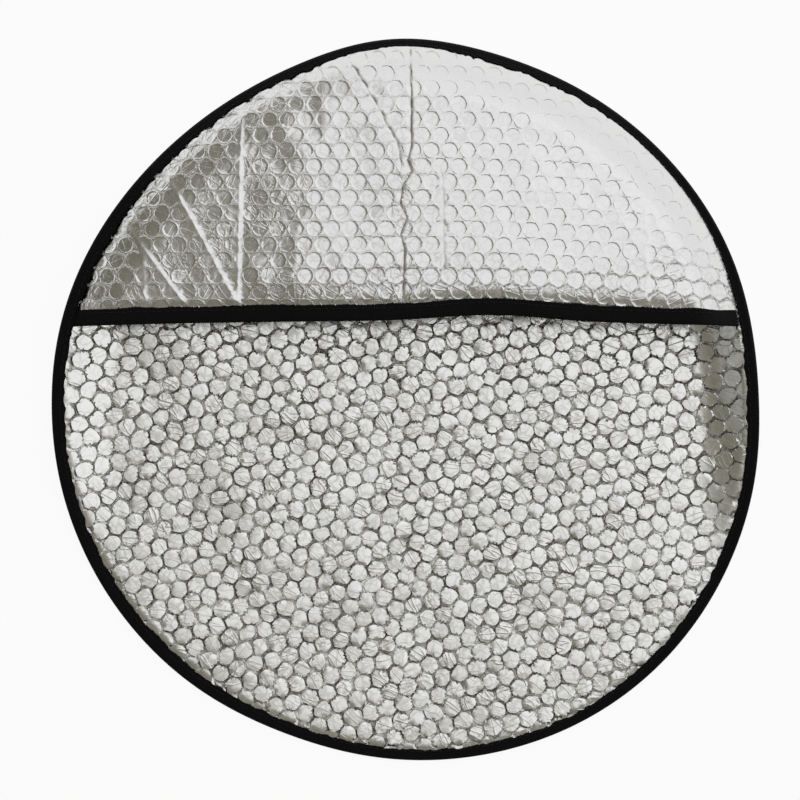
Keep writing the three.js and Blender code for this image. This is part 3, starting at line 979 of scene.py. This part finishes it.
def stitches(name, runs):
    """A stitch for each run from one point to another, on a face with the given normal"""
    points, faces = [], []
    for a, b, normal in runs:
        a, b, normal = Vector(a), Vector(b), Vector(normal).normalized()
        along = (b - a).normalized()
        side = along.cross(normal)
        rings = ((0.0, -0.3, 0.13), (0.22, 0.08, 0.2), (0.78, 0.08, 0.2), (1.0, -0.3, 0.13))
        first = len(points)
        for share, high, radius in rings:
            middle = a.lerp(b, share) + normal * high
            for k in range(6):
                turn = math.pi * k / 3
                points.append(middle + (side * math.cos(turn) + normal * math.sin(turn)) * radius)
        for ring in range(3):
            for k in range(6):
                p, q = first + ring * 6 + k, first + ring * 6 + (k + 1) % 6
                faces.append((p, q, q + 6, p + 6))
        faces += [tuple(first + k for k in reversed(range(6))), tuple(first + 18 + k for k in range(6))]
    piece = add_piece(name, points, faces)
    face_outwards(piece)
    shade(piece, 50)
    return piece


def rim_point(degrees, upper):
    edge = float(tape_edge_radius(degrees))
    lean = float(seam_lean(degrees))
    out = thread_inset * math.cos(lean)
    z = float(seam_height(degrees)) - out * math.tan(lean) + (rim_thickness(degrees) if upper else 0.22)
    r, a = edge + out, math.radians(degrees)
    return (r * math.cos(a), r * math.sin(a), z)


rim_runs, mouth_runs = [], []
for k in range(rim_stitches):
    start = 360 * k / rim_stitches
    end = start + 360 / rim_stitches * stitch_share
    for upper in (True, False):
        lean, a = float(seam_lean(start)), math.radians(start)
        up = 1 if upper else -1
        normal = (math.sin(lean) * math.cos(a) * up, math.sin(lean) * math.sin(a) * up, math.cos(lean) * up)
        rim_runs.append((rim_point(start, upper), rim_point(end, upper), normal))
thread_offset = mouth_tape_width - thread_inset
thread_ends = (mouth_end(-1, thread_offset) + 1.5, mouth_end(1, thread_offset) - 1.5)
mouth_stitch_x = np.linspace(*thread_ends, mouth_stitches + 1)
for x0, x1 in zip(mouth_stitch_x, mouth_stitch_x[1:]):
    x1 = x0 + stitch_share * (x1 - x0)
    ends = []
    for x in (x0, x1):
        y = float(mouth_y(x)) + thread_offset
        ends.append((x, y, float(held_height(x, y)[0])))
    for up in (1, -1):
        a, b = ((x, y, z + up * (mouth_thick / 2 - 0.02)) for x, y, z in ends)
        mouth_runs.append((a, b, (0, 0, up)))

thread_finish = bpy.data.materials.new("black thread")
thread_finish.use_nodes = True
tree = thread_finish.node_tree
shader = tree.nodes["Principled BSDF"]
place = part_of(tree, "ShaderNodeTexCoord")
twist = part_of(tree, "ShaderNodeTexWave", wave_type="BANDS", bands_direction="DIAGONAL")
twist.inputs["Scale"].default_value = 700
tree.links.new(place.outputs["Object"], twist.inputs["Vector"])
thread_color = mixed(tree, twist.outputs["Fac"], (0.006, 0.006, 0.0065, 1), (0.016, 0.016, 0.017, 1))
tree.links.new(thread_color, shader.inputs["Base Color"])
bump = part_of(tree, "ShaderNodeBump")
bump.inputs["Distance"].default_value = 0.00005
tree.links.new(twist.outputs["Fac"], bump.inputs["Height"])
tree.links.new(bump.outputs["Normal"], shader.inputs["Normal"])
tree.links.new(ranged(tree, twist.outputs["Fac"], 0, 1, 0.62, 0.5), shader.inputs["Roughness"])
shader.inputs["Specular IOR Level"].default_value = 0.2
for name, runs in (("rim_thread", rim_runs), ("mouth_thread", mouth_runs)):
    thread = stitches(name, runs)
    thread.data.materials.append(thread_finish)
    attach(thread, "root")

# The table, the light and the camera
# A plain white surface under the shade, a bright soft sky that is dimmer and warmer at the left and
# at the side of the mouth, a large weak lamp at the upper right, and a long lens looking down.
table_size = 16
table_clearance = 0.0002
bpy.ops.mesh.primitive_plane_add(size=1, location=(0, 0, 0))
bpy.ops.object.mode_set(mode="EDIT")
bpy.ops.transform.resize(value=(table_size, table_size, 1), center_override=(0, 0, 0))
bpy.ops.mesh.subdivide(number_cuts=3)
bpy.ops.transform.translate(value=(0, 0, -table_clearance))
bpy.ops.object.mode_set(mode="OBJECT")
table = bpy.context.object
table.name = "table"
white = bpy.data.materials.new("white surface")
white.use_nodes = True
tree = white.node_tree
tree.nodes.clear()
soft = part_of(tree, "ShaderNodeBsdfDiffuse")
soft.inputs["Color"].default_value = (1, 1, 1, 1)
lit = part_of(tree, "ShaderNodeEmission")
lit.inputs["Color"].default_value = (1, 1, 1, 1)
lit.inputs["Strength"].default_value = 1.0
rays = part_of(tree, "ShaderNodeLightPath")
seen = sum_of(tree, "MAXIMUM", rays.outputs["Is Camera Ray"], rays.outputs["Is Glossy Ray"])
seen = sum_of(tree, "MAXIMUM", seen, rays.outputs["Is Transmission Ray"])
share = sum_of(tree, "MULTIPLY", seen, 0.92)
both = part_of(tree, "ShaderNodeMixShader")
tree.links.new(share, both.inputs[0])
tree.links.new(soft.outputs[0], both.inputs[1])
tree.links.new(lit.outputs[0], both.inputs[2])
out = part_of(tree, "ShaderNodeOutputMaterial")
tree.links.new(both.outputs[0], out.inputs["Surface"])
table.data.materials.append(white)

world = bpy.data.worlds.new("studio")
bpy.context.scene.world = world
world.use_nodes = True
tree = world.node_tree
sky = tree.nodes["Background"]
toward = part_of(tree, "ShaderNodeTexCoord")
from_left, from_below = (part_of(tree, "ShaderNodeVectorMath", operation="DOT_PRODUCT") for _ in range(2))
from_left.inputs[1].default_value = (0.97, 0.24, 0)
from_below.inputs[1].default_value = (0.3, 0.95, 0)
for across in (from_left, from_below):
    tree.links.new(toward.outputs["Generated"], across.inputs[0])
raised = sum_of(tree, "ADD", from_below.outputs["Value"], 0.01)
across = sum_of(tree, "MINIMUM", from_left.outputs["Value"], raised)
upward = part_of(tree, "ShaderNodeSeparateXYZ")
tree.links.new(toward.outputs["Generated"], upward.inputs[0])
side = part_of(tree, "ShaderNodeValToRGB")
sky_bands = (
    (0.0, (0.4, 0.4, 0.38, 1)),
    (0.11, (0.17, 0.16, 0.12, 1)),
    (0.405, (0.3, 0.29, 0.248, 1)),
    (0.475, (0.97, 0.97, 0.98, 1)),
)
for position, color in sky_bands[1:3]:
    side.color_ramp.elements.new(position).color = color
for end, (position, color) in ((0, sky_bands[0]), (-1, sky_bands[3])):
    side.color_ramp.elements[end].position = position
    side.color_ramp.elements[end].color = color
centred = sum_of(tree, "MULTIPLY_ADD", across, 0.5)
centred.node.inputs[2].default_value = 0.5
tree.links.new(centred, side.inputs[0])
tree.links.new(side.outputs["Color"], sky.inputs["Color"])
tree.links.new(ranged(tree, upward.outputs["Z"], -0.1, 0.4, 0.94, 1.0), sky.inputs["Strength"])

bpy.ops.object.light_add(type="AREA", location=(0.9, 0.8, 1.7))
lamp = bpy.context.object
lamp.name = "large lamp"
lamp.data.shape = "SQUARE"
lamp.data.size = 1.4
lamp.data.energy = 0.4
lamp.rotation_euler = (Vector((0, 0, 0)) - lamp.location).to_track_quat("-Z", "Y").to_euler()

lens, sensor_width = 200, 36
seen_width, seen_height = 0.4484, 0.012
bpy.ops.object.camera_add(location=(-0.00305, 0.00036, seen_height + seen_width * lens / sensor_width))
camera = bpy.context.object
camera.name = "long lens"
camera.data.lens = lens
camera.data.sensor_width = sensor_width
camera.data.clip_end = 50
bpy.context.scene.camera = camera
bpy.context.scene.view_settings.view_transform = "Standard"
